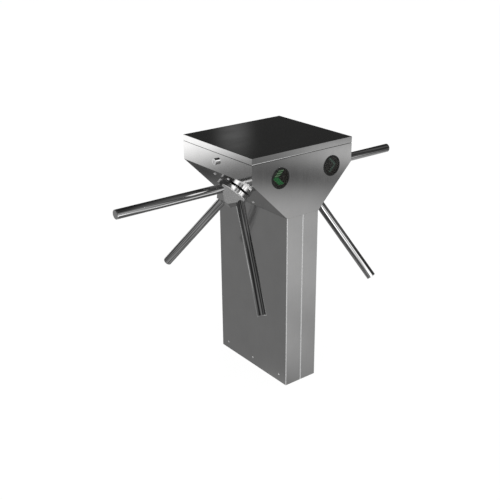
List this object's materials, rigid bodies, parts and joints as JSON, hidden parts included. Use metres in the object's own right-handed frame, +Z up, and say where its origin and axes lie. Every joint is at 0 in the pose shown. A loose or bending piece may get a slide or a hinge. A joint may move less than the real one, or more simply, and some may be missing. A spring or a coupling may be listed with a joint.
{
  "type": "tripod turnstile",
  "caption": "Waist-high turnstile for two lanes, with a slim pedestal, a wide head with a hinged lid, and on each sloping side a hub whose angled arms turn.",
  "frame": {"origin": "on the floor, under the middle of the pedestal", "axes": "+Z up, X across the two lanes, Y along them, front with the indicators facing -Y"},
  "size_m": [1.4362, 0.7144, 1.05],
  "materials": {
    "stainless_sheet": "brushed stainless sheet with soft reflections",
    "arm_chrome": "polished stainless tube",
    "hub_steel": "fine satin, machined and polished",
    "black_glass_panel": "glossy black panel",
    "lock_chrome": "polished plating",
    "screw_steel": "turned stainless",
    "hinge_steel": "satin stainless",
    "zinc_steel": "zinc plated",
    "bearing_steel": "ground and bright",
    "cast_housing": "cast, lightly machined",
    "gear_brass": "satin",
    "frame_paint": "dark grey powder coat",
    "motor_paint": "black satin paint",
    "black_plastic": "fine matt",
    "indicator_lens": "smoked clear panel",
    "circuit_board": "satin solder mask",
    "cable_sheath": "satin sleeve",
    "grommet_rubber": "matt"
  },
  "bodies": {
    "cabinet": {"base_plate": "frame_paint", "cable_grommet": "grommet_rubber", "inner_frame": "frame_paint", "left_side_cover": "stainless_sheet", "right_side_cover": "stainless_sheet", "cover_screws": "screw_steel", "head_front_plate": "stainless_sheet", "head_rear_plate": "stainless_sheet", "left_head_sheet": "stainless_sheet", "right_head_sheet": "stainless_sheet", "hinge_leaf_lower": "hinge_steel", "hinge_pin": "hinge_steel", "lock_barrel": "lock_chrome", "lock_nut": "zinc_steel", "indicator_bezels": "black_plastic", "indicator_lenses": "indicator_lens", "led_boards": "circuit_board", "control_board": "circuit_board", "power_supply": "zinc_steel", "wiring_loom": "cable_sheath", "slope_bolts": "screw_steel", "bearing_outers": "bearing_steel", "solenoids": "motor_paint", "gear_motors": "motor_paint", "left_housing": "cast_housing", "right_housing": "cast_housing"},
    "left_tripod": {"left_shaft": "bearing_steel", "left_bearing_inners": "bearing_steel", "left_lock_disc": "zinc_steel", "left_shaft_gear": "gear_brass", "left_hub": "hub_steel", "left_hub_bolt": "screw_steel", "left_hub_cap": "hub_steel", "left_arm_1": "arm_chrome", "left_arm_2": "arm_chrome", "left_arm_3": "arm_chrome", "left_arm_caps": "arm_chrome", "left_arm_screws": "screw_steel"},
    "left_motor_output": {"left_pinion": "bearing_steel"},
    "left_locking_pin": {"left_lock_pin": "bearing_steel"},
    "right_tripod": {"right_shaft": "bearing_steel", "right_bearing_inners": "bearing_steel", "right_lock_disc": "zinc_steel", "right_shaft_gear": "gear_brass", "right_hub": "hub_steel", "right_hub_bolt": "screw_steel", "right_hub_cap": "hub_steel", "right_arm_1": "arm_chrome", "right_arm_2": "arm_chrome", "right_arm_3": "arm_chrome", "right_arm_caps": "arm_chrome", "right_arm_screws": "screw_steel"},
    "right_motor_output": {"right_pinion": "bearing_steel"},
    "right_locking_pin": {"right_lock_pin": "bearing_steel"},
    "lid": {"lid_pan": "stainless_sheet", "lid_top": "black_glass_panel", "hinge_leaf_upper": "hinge_steel", "lid_catch": "zinc_steel"},
    "lock_cylinder": {"lock_plug": "lock_chrome", "lock_cam": "zinc_steel"}
  },
  "joints": [
    {"name": "left_tripod_spin", "type": "hinge", "parent": "cabinet", "child": "left_tripod", "pos_m": [-0.17, 0, 0.8585], "axis": [-0.7071, 0, -0.7071], "continuous": true},
    {"name": "left_motor_spin", "type": "hinge", "parent": "cabinet", "child": "left_motor_output", "pos_m": [-0.17, 0.07, 0.8585], "axis": [-0.7071, 0, -0.7071], "continuous": true},
    {"name": "left_lock_pin_slide", "type": "slide", "parent": "cabinet", "child": "left_locking_pin", "axis": [0, 1, 0], "range_m": [0, 0.008], "stiffness_N_per_m": 300, "springref_m": -0.005},
    {"name": "right_tripod_spin", "type": "hinge", "parent": "cabinet", "child": "right_tripod", "pos_m": [0.17, 0, 0.8585], "axis": [0.7071, 0, -0.7071], "continuous": true},
    {"name": "right_motor_spin", "type": "hinge", "parent": "cabinet", "child": "right_motor_output", "pos_m": [0.17, 0.07, 0.8585], "axis": [0.7071, 0, -0.7071], "continuous": true},
    {"name": "right_lock_pin_slide", "type": "slide", "parent": "cabinet", "child": "right_locking_pin", "axis": [0, 1, 0], "range_m": [0, 0.008], "stiffness_N_per_m": 300, "springref_m": -0.005},
    {"name": "lid_hinge", "type": "hinge", "parent": "cabinet", "child": "lid", "pos_m": [0.2607, 0, 1.0241], "axis": [0, 1, 0], "range_deg": [0, 100]},
    {"name": "lock_turn", "type": "hinge", "parent": "cabinet", "child": "lock_cylinder", "pos_m": [-0.2575, -0.0025, 0.989], "axis": [-1, 0, 0], "range_deg": [0, 90]}
  ],
  "couplings": [
    {"joint": "left_motor_spin", "follows": "left_tripod_spin", "ratio": -2.5},
    {"joint": "right_motor_spin", "follows": "right_tripod_spin", "ratio": -2.5}
  ]
}
